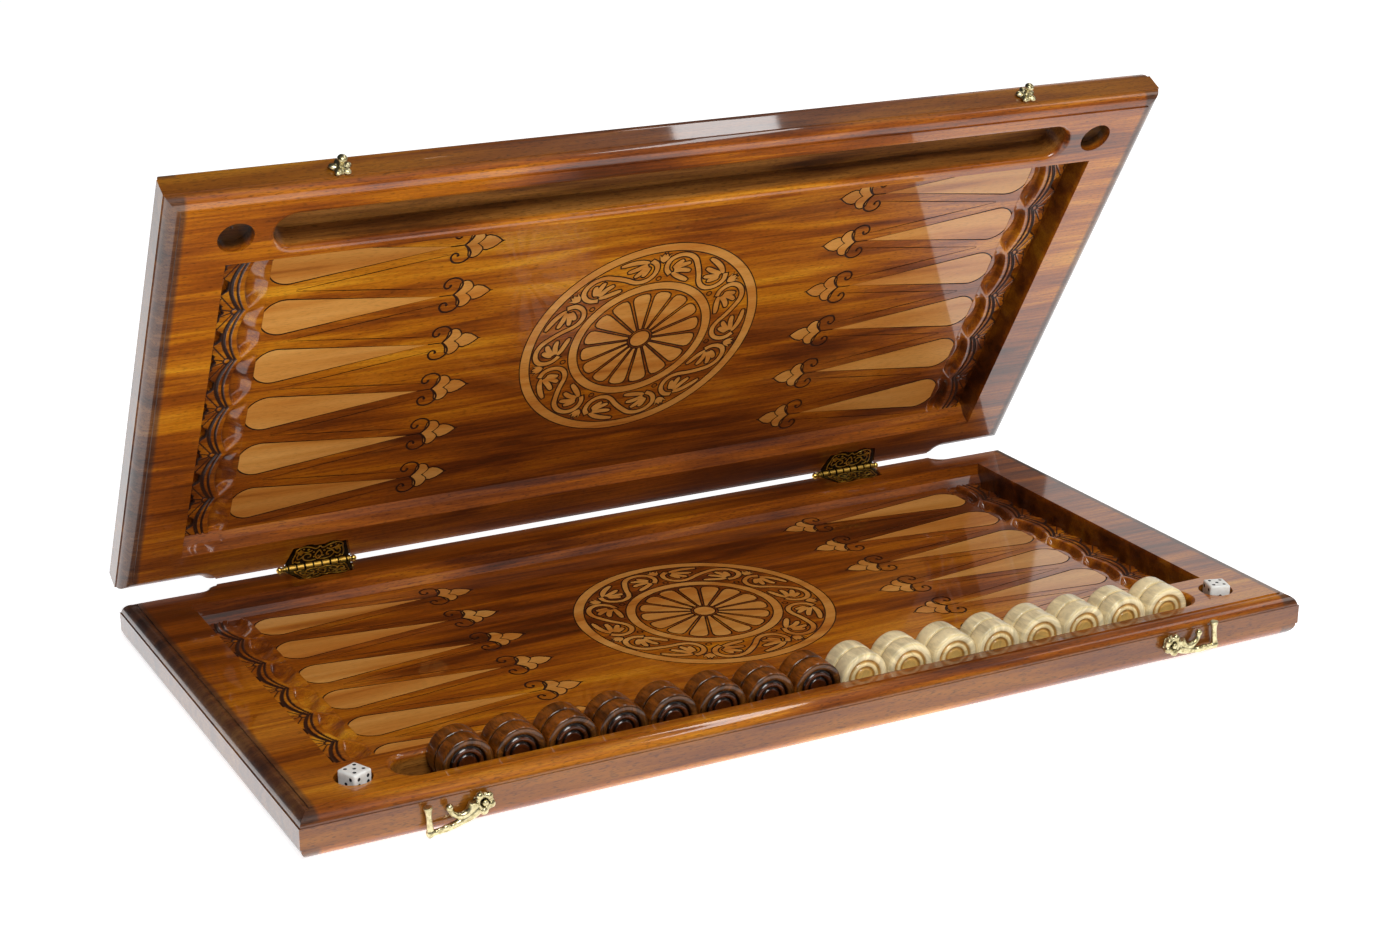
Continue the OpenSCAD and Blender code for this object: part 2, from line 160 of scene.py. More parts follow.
def makeStainedBeech(name, half, place=None, tint=0.0, scorchAndShade=False):
    # Stained beech under gloss lacquer: brown and gold flames along the board, short dark
    # pores, and a clear coat that mirrors the lamps sharply.
    spec = stainedBeech
    made, tree = newMaterial(name)
    coords = boardCoordinates(tree, place)
    grain = {}
    for layer, (length, width, detail, bend) in spec["grain"].items():
        across = 1000 / width
        stretched = addNode(tree, "ShaderNodeVectorMath",
                            {0: coords, 1: (1000 / length, across, across)},
                            operation="MULTIPLY")
        grain[layer] = addNode(tree, "ShaderNodeTexNoise", {
            "Vector": stretched.outputs[0], "Scale": 1.0, "Detail": detail,
            "Distortion": bend}).outputs["Fac"]
    split = addNode(tree, "ShaderNodeSeparateXYZ", {"Vector": coords})
    reach = addNode(tree, "ShaderNodeMath", {0: split.outputs["Y"]}, operation="ABSOLUTE").outputs[0]
    far = addNode(tree, "ShaderNodeMapRange", {"Value": reach, "From Min": 0.0, "From Max": 0.3})
    level = addNode(tree, "ShaderNodeValToRGB", {"Fac": far.outputs[0]},
                    stops=[(s / 300, g) for s, g in staves[half]]).outputs["Color"]
    for layer, pull in spec["pull"].items():
        level = addNode(tree, "ShaderNodeMath", {0: grain[layer], 1: pull, 2: level},
                        operation="MULTIPLY_ADD").outputs[0]
    level = addNode(tree, "ShaderNodeMath", {0: level, 1: tint - sum(spec["pull"].values()) / 2},
                    operation="ADD").outputs[0]
    colour = addNode(tree, "ShaderNodeValToRGB", {"Fac": level}, stops=spec["tones"]).outputs["Color"]
    # the trough takes darker tones below the rim, partly its own darker wood and partly painted shade
    # in the hollow; the wells get more painted shade on top, the end mouldings painted shade and
    # painted reflection, and the side faces painted shade
    height = split.outputs["Z"]
    length = addNode(tree, "ShaderNodeMath", {0: split.outputs["X"]}, operation="ABSOLUTE").outputs[0]
    sunk = addNode(tree, "ShaderNodeMapRange", {
        "Value": height, "From Min": -spec["sunk"][0] * mm, "From Max": -spec["sunk"][1] * mm})
    troughNear, troughFar = spec["trough"]
    inTrough = addNode(tree, "ShaderNodeMath", {
        0: addNode(tree, "ShaderNodeMath", {0: reach, 1: troughNear * mm},
                   operation="GREATER_THAN").outputs[0],
        1: addNode(tree, "ShaderNodeMath", {0: reach, 1: troughFar * mm},
                   operation="LESS_THAN").outputs[0]},
        operation="MULTIPLY")
    # the outer face lies deeper than any trough floor
    inside = addNode(tree, "ShaderNodeMath", {0: height, 1: -spec["outerFace"] * mm},
                     operation="GREATER_THAN")
    hollow = addNode(tree, "ShaderNodeMath", {0: sunk.outputs[0], 1: inside.outputs[0]},
                     operation="MULTIPLY")
    scooped = addNode(tree, "ShaderNodeMath", {0: hollow.outputs[0], 1: inTrough.outputs[0]},
                      operation="MULTIPLY")
    inWell = addNode(tree, "ShaderNodeMapRange", {
        "Value": length, "From Min": spec["wells"][0] * mm, "From Max": spec["wells"][1] * mm,
        "To Min": 1.0, "To Max": spec["wellShade"]})
    faceLow, faceHigh = (edge * mm for edge in spec["sideFace"])
    onFace = addNode(tree, "ShaderNodeMath", {
        0: addNode(tree, "ShaderNodeMapRange", {
            "Value": reach, "From Min": faceLow, "From Max": faceHigh}).outputs[0],
        1: addNode(tree, "ShaderNodeMapRange", {
            "Value": length, "From Min": faceLow, "From Max": faceHigh,
            "To Max": spec["sideCover"]}).outputs[0]}, operation="MAXIMUM")
    onEnd = addNode(tree, "ShaderNodeMapRange", {
        "Value": length, "From Min": spec["endMoulding"][0] * mm,
        "From Max": spec["endMoulding"][1] * mm,
        "To Max": spec["endCover"]})
    for mask, tones in ((scooped.outputs[0], "troughWoodAndShadeTones"), (onEnd.outputs[0], "endMouldingShadeAndReflection"),
                        (onFace.outputs[0], "sideFaceShadeTones")):
        other = addNode(tree, "ShaderNodeValToRGB", {"Fac": level}, stops=spec[tones]).outputs["Color"]
        # the dice wells darker still: painted shade
        if tones == "troughWoodAndShadeTones":
            other = addNode(tree, "ShaderNodeVectorMath", {0: other, "Scale": inWell.outputs[0]},
                            operation="SCALE").outputs[0]
        colour = addNode(tree, "ShaderNodeMix", {"Factor": mask, 6: colour, 7: other},
                         data_type="RGBA").outputs[2]
    if place is not None:
        # painted shade on the inside end walls of the field, darker towards the floor
        inField = addNode(tree, "ShaderNodeMath", {0: reach, 1: board["fieldFar"] * mm},
                          operation="LESS_THAN")
        atWall = addNode(tree, "ShaderNodeMath", {0: length, 1: board["fieldHalf"] * mm, 2: 0.4 * mm},
                         operation="COMPARE")
        onWall = addNode(tree, "ShaderNodeMath", {0: atWall.outputs[0], 1: inField.outputs[0]},
                         operation="MULTIPLY")
        below = addNode(tree, "ShaderNodeMapRange", {
            "Value": height, "From Min": -0.0002, "From Max": -0.004, "To Min": 1.0,
            "To Max": spec["endShade"]})
        shade = addNode(tree, "ShaderNodeMix",
                        {2: 1.0, 3: below.outputs[0], "Factor": onWall.outputs[0]},
                        data_type="FLOAT")
        colour = addNode(tree, "ShaderNodeVectorMath", {0: colour, "Scale": shade.outputs[0]},
                         operation="SCALE").outputs[0]
    poreDark = addNode(tree, "ShaderNodeMapRange", {
        "Value": grain["pore"], "From Min": 0.32, "From Max": 0.44, "To Min": 0.5, "To Max": 1.0})
    colour = addNode(tree, "ShaderNodeVectorMath", {0: colour, "Scale": poreDark.outputs[0]},
                     operation="SCALE").outputs[0]
    if scorchAndShade:
        # scorched cutter lines, with painted shadow in the carved bowls and painted shade in the
        # channels by the end walls, held as a vertex attribute
        mask = addNode(tree, "ShaderNodeAttribute", attribute_name="scorchAndShade")
        colour = addNode(tree, "ShaderNodeMix", {
            "Factor": mask.outputs["Fac"], 6: colour, 7: linearColour(spec["scorchAndShadeColour"])},
            data_type="RGBA").outputs[2]
    bump = addNode(tree, "ShaderNodeBump",
                   {"Height": grain["pore"], "Strength": 0.12, "Distance": 0.0001})
    shader = addNode(tree, "ShaderNodeBsdfPrincipled", {
        "Base Color": colour, "Roughness": spec["roughness"], "IOR": 1.5,
        "Specular IOR Level": spec["specular"],
        "Coat Weight": 1.0, "Coat Roughness": spec["coatRoughness"], "Coat IOR": 1.5,
        "Normal": bump.outputs["Normal"]})
    finishMaterial(tree, shader)
    return made


def makeNaturalBeech(name):
    # Unstained beech under the same lacquer: pale, warm, with fine brown flecks and an odd
    # reddish streak.
    made, tree = newMaterial(name)
    coords = boardCoordinates(tree)
    slow = addNode(tree, "ShaderNodeTexNoise", {
        "Vector": addNode(tree, "ShaderNodeVectorMath", {0: coords, 1: (6, 75, 75)},
                          operation="MULTIPLY").outputs[0],
        "Scale": 1.0, "Detail": 4.0, "Distortion": 0.6})
    body = addNode(tree, "ShaderNodeValToRGB", {"Fac": slow.outputs["Fac"]}, stops=[
        (0.26, "#8E4A12"), (0.37, "#BC762C"), (0.52, "#C98A3E"), (0.72, "#D69C50")])
    flecks = addNode(tree, "ShaderNodeTexNoise", {
        "Vector": addNode(tree, "ShaderNodeVectorMath", {0: coords, 1: (260, 1700, 1700)},
                          operation="MULTIPLY").outputs[0],
        "Scale": 1.0, "Detail": 2.0})
    fleckDark = addNode(tree, "ShaderNodeMapRange", {
        "Value": flecks.outputs["Fac"], "From Min": 0.28, "From Max": 0.5, "To Min": 0.8,
        "To Max": 1.0})
    colour = addNode(tree, "ShaderNodeVectorMath",
                     {0: body.outputs["Color"], "Scale": fleckDark.outputs[0]},
                     operation="SCALE").outputs[0]
    bump = addNode(tree, "ShaderNodeBump",
                   {"Height": flecks.outputs["Fac"], "Strength": 0.1, "Distance": 0.0001})
    finishMaterial(tree, addNode(tree, "ShaderNodeBsdfPrincipled", {
        "Base Color": colour, "Roughness": stainedBeech["roughness"], "IOR": 1.5,
        "Specular IOR Level": stainedBeech["specular"], "Coat Weight": 1.0,
        "Coat Roughness": stainedBeech["coatRoughness"], "Coat IOR": 1.5,
        "Normal": bump.outputs["Normal"]}))
    return made


def makeBurntGroove(name):
    # Beech scorched by the V cutter: nearly black brown, matt under a thin coat.
    made, tree = newMaterial(name)
    coords = boardCoordinates(tree)
    grain = addNode(tree, "ShaderNodeTexNoise", {
        "Vector": addNode(tree, "ShaderNodeVectorMath", {0: coords, 1: (150, 1500, 1500)},
                          operation="MULTIPLY").outputs[0],
        "Scale": 1.0, "Detail": 2.0})
    body = addNode(tree, "ShaderNodeValToRGB", {"Fac": grain.outputs["Fac"]}, stops=[
        (0.3, "#140702"), (0.7, "#351504")])
    finishMaterial(tree, addNode(tree, "ShaderNodeBsdfPrincipled", {
        "Base Color": body.outputs["Color"], "Roughness": 0.6, "IOR": 1.5, "Specular IOR Level": 0.3,
        "Coat Weight": 0.4, "Coat Roughness": 0.2}))
    return made


discRadius = 14   # mm


def makeTurnedWood(name, rings, side, fleck, roughness):
    # Lacquered turned hardwood: grain lines straight through the disc, darker in the turned
    # grooves and plainer round the rim. rings gives colours by radius in mm.
    made, tree = newMaterial(name)
    coords = addNode(tree, "ShaderNodeTexCoord").outputs["Object"]
    flat = addNode(tree, "ShaderNodeVectorMath", {0: coords, 1: (1, 1, 0)}, operation="MULTIPLY")
    radius = addNode(tree, "ShaderNodeVectorMath", {0: flat.outputs[0]}, operation="LENGTH")
    share = addNode(tree, "ShaderNodeMapRange", {
        "Value": radius.outputs["Value"], "From Min": 0.0, "From Max": discRadius * mm})
    colour = addNode(tree, "ShaderNodeValToRGB", {"Fac": share.outputs[0]},
                     stops=[(r / discRadius, c) for r, c in rings]).outputs["Color"]
    rim = addNode(tree, "ShaderNodeMapRange",
                  {"Value": radius.outputs["Value"], "From Min": 13.2 * mm, "From Max": 13.8 * mm})
    colour = addNode(tree, "ShaderNodeMix",
                     {"Factor": rim.outputs[0], 6: colour, 7: linearColour(side)},
                     data_type="RGBA").outputs[2]
    for scale, low, high, dark, light in (((40, 260, 55), 0.32, 0.66, fleck * 0.8, 1.25),
                                          ((250, 2000, 300), 0.3, 0.55, fleck, 1.0)):
        stretched = addNode(tree, "ShaderNodeVectorMath", {0: coords, 1: scale}, operation="MULTIPLY")
        grain = addNode(tree, "ShaderNodeTexNoise", {
            "Vector": stretched.outputs[0], "Scale": 1.0, "Detail": 3.0, "Distortion": 0.5})
        shade = addNode(tree, "ShaderNodeMapRange", {
            "Value": grain.outputs["Fac"], "From Min": low, "From Max": high, "To Min": dark,
            "To Max": light})
        colour = addNode(tree, "ShaderNodeVectorMath", {0: colour, "Scale": shade.outputs[0]},
                         operation="SCALE").outputs[0]
    bump = addNode(tree, "ShaderNodeBump",
                   {"Height": grain.outputs["Fac"], "Strength": 0.1, "Distance": 0.0001})
    finishMaterial(tree, addNode(tree, "ShaderNodeBsdfPrincipled", {
        "Base Color": colour, "Roughness": roughness, "IOR": 1.5, "Specular IOR Level": 0.2,
        "Coat Weight": 0.55, "Coat Roughness": 0.07,
        "Normal": bump.outputs["Normal"]}))
    return made


# mm from the middle of the board to a hinge, its width in mm, and its knuckles, both leaves together
hingeLeaf = {"across": 181, "width": 36, "knuckles": 7}


def makeCastBrass(name, light, dark, roughness, barrel=None):
    # Cast and tumbled brass: soft highlights, slightly uneven skin, tarnish in the hollows.
    # barrel is (colour, radius in mm) for the metal rubbed bright round the hinge line.
    made, tree = newMaterial(name)
    coords = addNode(tree, "ShaderNodeTexCoord").outputs["Object"]
    cloud = addNode(tree, "ShaderNodeTexNoise", {"Vector": coords, "Scale": 420.0, "Detail": 3.0})
    body = addNode(tree, "ShaderNodeValToRGB", {"Fac": cloud.outputs["Fac"]},
                   stops=[(0.35, dark), (0.6, light)])
    tone = body.outputs["Color"]
    if barrel:
        inPlane = addNode(tree, "ShaderNodeVectorMath", {0: coords, 1: (0, 1, 1)}, operation="MULTIPLY")
        away = addNode(tree, "ShaderNodeVectorMath",
                       {0: inPlane.outputs[0], 1: (0, hingeLine.y, hingeLine.z)},
                       operation="DISTANCE")
        near = addNode(tree, "ShaderNodeMath", {0: away.outputs["Value"], 1: barrel[1] * mm},
                       operation="LESS_THAN")
        # the joints between the knuckles stay dark
        split = addNode(tree, "ShaderNodeSeparateXYZ", {"Vector": coords})
        out = addNode(tree, "ShaderNodeMath", {0: split.outputs["X"]}, operation="ABSOLUTE")
        along = addNode(tree, "ShaderNodeMath", {
            0: out.outputs[0], 1: (hingeLeaf["across"] - hingeLeaf["width"] / 2) * mm},
            operation="SUBTRACT")
        gap = addNode(tree, "ShaderNodeMath", {
            0: along.outputs[0], 1: hingeLeaf["width"] / hingeLeaf["knuckles"] / 2 * mm},
            operation="PINGPONG")
        solid = addNode(tree, "ShaderNodeMath", {0: gap.outputs[0], 1: 0.5 * mm},
                        operation="GREATER_THAN")
        near = addNode(tree, "ShaderNodeMath", {0: near.outputs[0], 1: solid.outputs[0]},
                       operation="MULTIPLY")
        tone = addNode(tree, "ShaderNodeMix",
                       {"Factor": near.outputs[0], 6: tone, 7: linearColour(barrel[0])},
                       data_type="RGBA").outputs[2]
    # tarnish stays in the hollows
    hollow = addNode(tree, "ShaderNodeAmbientOcclusion", {"Distance": 0.0025}, samples=8)
    worn = addNode(tree, "ShaderNodeMapRange", {
        "Value": hollow.outputs["AO"], "From Min": 0.25, "From Max": 0.8, "To Min": 0.22,
        "To Max": 1.0})
    colour = addNode(tree, "ShaderNodeVectorMath", {0: tone, "Scale": worn.outputs[0]},
                     operation="SCALE")
    skin = addNode(tree, "ShaderNodeTexNoise", {"Vector": coords, "Scale": 1500.0, "Detail": 2.0})
    bump = addNode(tree, "ShaderNodeBump",
                   {"Height": skin.outputs["Fac"], "Strength": 0.25, "Distance": 0.0001})
    finishMaterial(tree, addNode(tree, "ShaderNodeBsdfPrincipled", {
        "Base Color": colour.outputs[0], "Metallic": 1.0, "Roughness": roughness,
        "Normal": bump.outputs["Normal"]}))
    return made


def makeMouldedPlastic(name, light, dark, roughness):
    # Moulded urea plastic, polished: even, with a very faint mottling.
    made, tree = newMaterial(name)
    coords = addNode(tree, "ShaderNodeTexCoord").outputs["Object"]
    cloud = addNode(tree, "ShaderNodeTexNoise", {"Vector": coords, "Scale": 300.0, "Detail": 3.0})
    body = addNode(tree, "ShaderNodeValToRGB", {"Fac": cloud.outputs["Fac"]},
                   stops=[(0.35, dark), (0.65, light)])
    bump = addNode(tree, "ShaderNodeBump",
                   {"Height": cloud.outputs["Fac"], "Strength": 0.05, "Distance": 0.0001})
    finishMaterial(tree, addNode(tree, "ShaderNodeBsdfPrincipled", {
        "Base Color": body.outputs["Color"], "Roughness": roughness, "IOR": 1.5,
        "Normal": bump.outputs["Normal"]}))
    return made


lidWood = makeStainedBeech("lid_stained_beech", "lid", lidPlace)
lowerWood = makeStainedBeech("lower_stained_beech", "lower", lowerPlace)
fieldWood = {h: makeStainedBeech(h + "_field_stained_beech", h) for h in halves}
carvedWood = {h: makeStainedBeech(h + "_carved_stained_beech", h, scorchAndShade=True) for h in halves}
naturalBeech = makeNaturalBeech("natural_beech")
burntGroove = makeBurntGroove("burnt_groove")
darkTurned = makeTurnedWood("dark_turned_walnut", [
    (0, "#5E2C0E"), (4.4, "#54260C"), (5.1, "#0E0502"), (6.0, "#140703"), (6.6, "#4E240A"),
    (8.0, "#5A2C0E"),
    (8.7, "#0C0402"), (9.6, "#120602"), (10.4, "#5C3410"), (12.4, "#744414"), (13.6, "#1E0E05")],
    "#8A4A10", 0.32, 0.3)
lightTurned = makeTurnedWood("light_turned_maple", [
    (0, "#E4BE70"), (4.4, "#DDB262"), (5.1, "#A97A34"), (6.0, "#B88842"), (6.6, "#EAD29A"),
    (8.0, "#EAD29A"),
    (8.7, "#B0823C"), (9.6, "#BF9350"), (10.4, "#F0DEB0"), (12.4, "#F0DEB0"), (13.6, "#DCC388")],
    "#E9D8AC", 0.86, 0.35)
paleBrass = makeCastBrass("pale_cast_brass", "#DDD2A6", "#A79B70", 0.3)
agedBrass = makeCastBrass("aged_brass", "#2E210A", "#120B03", 0.4, ("#DDB050", 2.6))
goldBrass = makeCastBrass("rubbed_gold_brass", "#F0C864", "#C8983C", 0.3)
bonePlastic = makeMouldedPlastic("bone_white_plastic", "#F4F4F0", "#E8E8E2", 0.22)
pipPaint = makeMouldedPlastic("black_pip_paint", "#17171A", "#0C0C0E", 0.35)
print("materials made")


def linkMesh(name, mesh, place=None, material=None):
    made = bpy.data.objects.new(name, mesh)
    bpy.context.scene.collection.objects.link(made)
    if place is not None:
        made.matrix_world = place
    if material is not None and not mesh.materials:
        mesh.materials.append(material)
    return made


def settledMesh(source, name):
    # the mesh that an object's modifiers give; the object itself goes
    bpy.context.view_layer.update()
    ready = source.evaluated_get(bpy.context.evaluated_depsgraph_get())
    made = bpy.data.meshes.new_from_object(ready)
    made.name = name
    bpy.data.objects.remove(source)
    return made


def paintNode(name, material):
    node = nodes[name]
    node.data.materials.clear()
    node.data.materials.append(material)
    for face in node.data.polygons:
        face.material_index = 0


# the CAD's own pieces, with their finishes

paintNode("lid_board", lidWood)
paintNode("lower_board", lowerWood)
for side in ("left", "right"):
    for part in ("hinge_lower_leaf", "hinge_lid_leaf"):
        paintNode(side + "_" + part, agedBrass)
    paintNode(side + "_hinge_pin", goldBrass)
for part in ("lower_hinge_screws", "lid_hinge_screws"):
    paintNode(part, goldBrass)


# engraved fields

engraving = {
    "pitch": 36.8,         # mm between points
    "firstPoint": 52.5,    # mm from the hinge line to the first point's middle
    "points": 6,
    "apex": 136, "roundMiddle": 224.5, "roundRadius": 12.3,
    "outline": 0.9,        # mm, width of the cut round a pale shape
    "medallionMiddle": 143,
    "medallionRings": [("cut", 75.2), ("pale", 74.5), ("cut", 69.2), ("ground", 68.4),
                       ("cut", 45.3), ("pale", 44.5), ("cut", 39.6), ("ground", 38.8)],
    "rays": 16,
    "rayEdge": [(8.2, 0.62), (14, 1.62), (22, 3.1), (30, 4.6), (33.2, 5.05), (35.4, 4.55), (36.5, 2.6),
                (36.8, 0)],
    "hub": 5.9,
    "scrolls": 7, "scrollRing": 57.0,
    "firstScroll": {"lid": 0, "lower": 180 / 7},   # degrees to the first scroll from the hinge side
}


def arcPoints(cx, cy, radius, start, end, count):
    angles = [math.radians(start + (end - start) * i / count) for i in range(count + 1)]
    return [(cx + radius * math.cos(a), cy + radius * math.sin(a)) for a in angles]


def smoothPath(points, steps):
    # Catmull-Rom through the given points
    out = []
    last = len(points) - 1
    for i in range(last):
        a, b, c, d = (points[min(max(i + k, 0), last)] for k in (-1, 0, 1, 2))
        for k in range(steps):
            t = k / steps
            out.append(tuple(
                0.5 * (2 * q + (r - p) * t + (2 * p - 5 * q + 4 * r - s) * t * t
                       + (3 * q - p - 3 * r + s) * t ** 3)
                for p, q, r, s in zip(a, b, c, d)))
    out.append(tuple(points[-1]))
    return out


def strokeOutline(points, halfWidth, taper=0.0):
    # closed outline of a line drawn with some width; taper narrows its two ends
    left, right = [], []
    count = len(points)
    for i, p in enumerate(points):
        q, r = points[max(i - 1, 0)], points[min(i + 1, count - 1)]
        along = Vector((r[0] - q[0], r[1] - q[1]))
        if along.length < 1e-6:
            continue
        across = Vector((-along.y, along.x)).normalized()
        w = halfWidth * (1 - taper * abs(2 * i / (count - 1) - 1) ** 3)
        left.append((p[0] + across.x * w, p[1] + across.y * w))
        right.append((p[0] - across.x * w, p[1] - across.y * w))
    return left + right[::-1]


def signedArea(points):
    return sum(p[0] * q[1] - q[0] * p[1] for p, q in zip(points, points[1:] + points[:1])) / 2


def grown(points, by):
    # closed outline moved outwards
    sign = 1 if signedArea(points) > 0 else -1
    out = []
    count = len(points)
    for i, p in enumerate(points):
        q, r = Vector(points[i - 1]), Vector(points[(i + 1) % count])
        here = Vector(p)
        a, b = (here - q), (r - here)
        if a.length < 1e-6 or b.length < 1e-6:
            continue
        na = Vector((a.y, -a.x)).normalized() * sign
        nb = Vector((b.y, -b.x)).normalized() * sign
        n = na + nb
        n = n / max(n.length_squared / 2, 0.6)
        out.append((p[0] + n.x * by, p[1] + n.y * by))
    return out


def fieldShapes(firstScroll):
    # Outlines in painting order: first the cuts round pale shapes, then the pale shapes,
    # then the scratched lines. Each is (kind, outline).
    e = engraving
    pale, lines, under = [], [], []

    def mirrored(points, side, middle):
        return [(side * x, middle + y) for x, y in points]

    slope = math.degrees(math.asin(e["roundRadius"] / (e["roundMiddle"] - e["apex"])))
    petal = arcPoints(e["roundMiddle"], 0, e["roundRadius"], -(90 + slope), 90 + slope,
                      30) + [(e["apex"], 0)]
    heart = smoothPath([(127.2, 0), (125.4, -2.2), (124.4, -5.2), (123.9, -8.2), (121.6, -9.5),
                        (118.9, -8.4),
                        (117.3, -5.9), (117.0, -3.9), (118.6, -1.6), (120.6, 0)], 4)
    heart = heart[:-1] + [(120.6, 0)] + [(x, -y) for x, y in reversed(heart[1:-1])]
    arrow = [(106.2, 0), (108.3, -2.0), (110.8, -3.9), (114.2, -5.0), (116.0, -4.6), (116.6, -2.9),
             (119.4, 0)]
    arrow = arrow + [(x, -y) for x, y in reversed(arrow[1:-1])]
    curl = smoothPath([(127.5, 0.0), (124.6, -3.2), (123.2, -6.6), (124.0, -10.0), (126.5, -12.2),
                       (129.6, -12.8),
                       (132.6, -11.7), (134.2, -9.1), (134.0, -6.7), (132.5, -5.4), (130.8, -5.9),
                       (130.2, -7.2)], 5)
    for side in (-1, 1):
        for i in range(e["points"]):
            middle = e["firstPoint"] + i * e["pitch"]
            for shape in (petal, heart, arrow):
                pale.append(mirrored(shape, side, middle))
            for flip in (-1, 1):
                turned = [(x, y * flip) for x, y in curl]
                lines.append(mirrored(strokeOutline(turned, 0.62), side, middle))
                lines.append(mirrored(arcPoints(130.4, -7.2 * flip, 0.95, 0, 330, 9), side, middle))
                vee = [(134.6, flip * 5.9), (176, flip * 11.9), (219.5, flip * e["pitch"] / 2 * 0.985)]
                if 30 < middle + flip * 18.4 < 253:
                    lines.append(mirrored(strokeOutline(vee, 0.34, 0.6), side, middle))
            lines.append(mirrored(strokeOutline([(e["apex"] - 0.2, 0), (131, 0), (127, 0)], 0.38), side,
                                  middle))
            lines.append(mirrored(strokeOutline([(106.5, 0), (105.4, 0), (104.2, 0)], 0.5, 0.5), side,
                                  middle))
    # medallion
    middle = Vector((0, e["medallionMiddle"]))

    def round_(radius, count=160):
        return [(middle.x + radius * math.cos(2 * math.pi * i / count),
                 middle.y + radius * math.sin(2 * math.pi * i / count)) for i in range(count)]

    under += [(kind, round_(radius)) for kind, radius in e["medallionRings"]]

    def polar(points, turn, radius):
        # (t, rho) about the ring of that radius, t running round it
        out = []
        for t, rho in points:
            a = math.radians(turn) + t / radius
            out.append((middle.x + (radius + rho) * math.sin(a),
                        middle.y - (radius + rho) * math.cos(a)))
        return out

    # each ray by its distance from the middle and half its width there
    ray = [(w, r) for r, w in e["rayEdge"]]
    outline = ray + [(-w, r) for w, r in reversed(ray[:-1])]
    for i in range(e["rays"]):
        a = math.radians(360 / e["rays"] * (i + 0.5))
        pale.append([(middle.x + r * math.sin(a) + w * math.cos(a),
                      middle.y - r * math.cos(a) + w * math.sin(a))
                     for w, r in outline])
    pale.append(round_(e["hub"], 40))
    ring = e["scrollRing"]
    # half of an S-shaped stem with its bulb and the four-fingered leaf inside; the other half
    # is the same, turned half round
    stem = smoothPath([(-3.4, -3.3), (0, 0), (3.4, 3.3), (7.2, 6.9), (12.0, 8.9), (17.2, 8.5),
                       (21.2, 5.6),
                       (22.6, 1.2), (21.6, -3.0), (18.6, -6.0)], 5)
    fingers = [strokeOutline(smoothPath(path, 5), 1.55, 0.6) for path in (
        [(13.4, 4.7), (15.6, 1.8), (17.6, -1.4)],
        [(8.3, 3.4), (12.6, 1.0), (16.6, -2.6)],
        [(4.9, -2.4), (10.4, -2.5), (16.2, -4.0)],
        [(2.2, -9.3), (7.4, -8.5), (12.6, -7.2), (17.2, -5.2)])]
    crown = [(-3.3, 10.0), (-1.9, 7.6), (-0.8, 10.2), (0, 8.8), (0.8, 10.2), (1.9, 7.6), (3.3, 10.0),
             (2.3, 5.6), (1.2, 4.2), (0, 3.4), (-1.2, 4.2), (-2.3, 5.6)]
    for i in range(e["scrolls"]):
        turn = 360 / e["scrolls"] * i + firstScroll
        for flip in (1, -1):
            for shape in [strokeOutline(stem, 1.4)] + fingers:
                pale.append(polar([(t * flip, rho * flip) for t, rho in shape], turn, ring))
        turn += 180 / e["scrolls"]
        pale.append(polar(crown, turn, ring))
        eye = polar([(0, -9.0)], turn, ring)[0]
        under.append(("cut", arcPoints(eye[0], eye[1], 2.0, 0, 342, 19)))
        under.append(("ground", arcPoints(eye[0], eye[1], 1.2, 0, 342, 19)))
    shapes = list(under)
    shapes += [("cut", grown(s, e["outline"])) for s in pale]
    shapes += [("pale", s) for s in pale]
    shapes += [("cut", s) for s in lines]
    return shapes


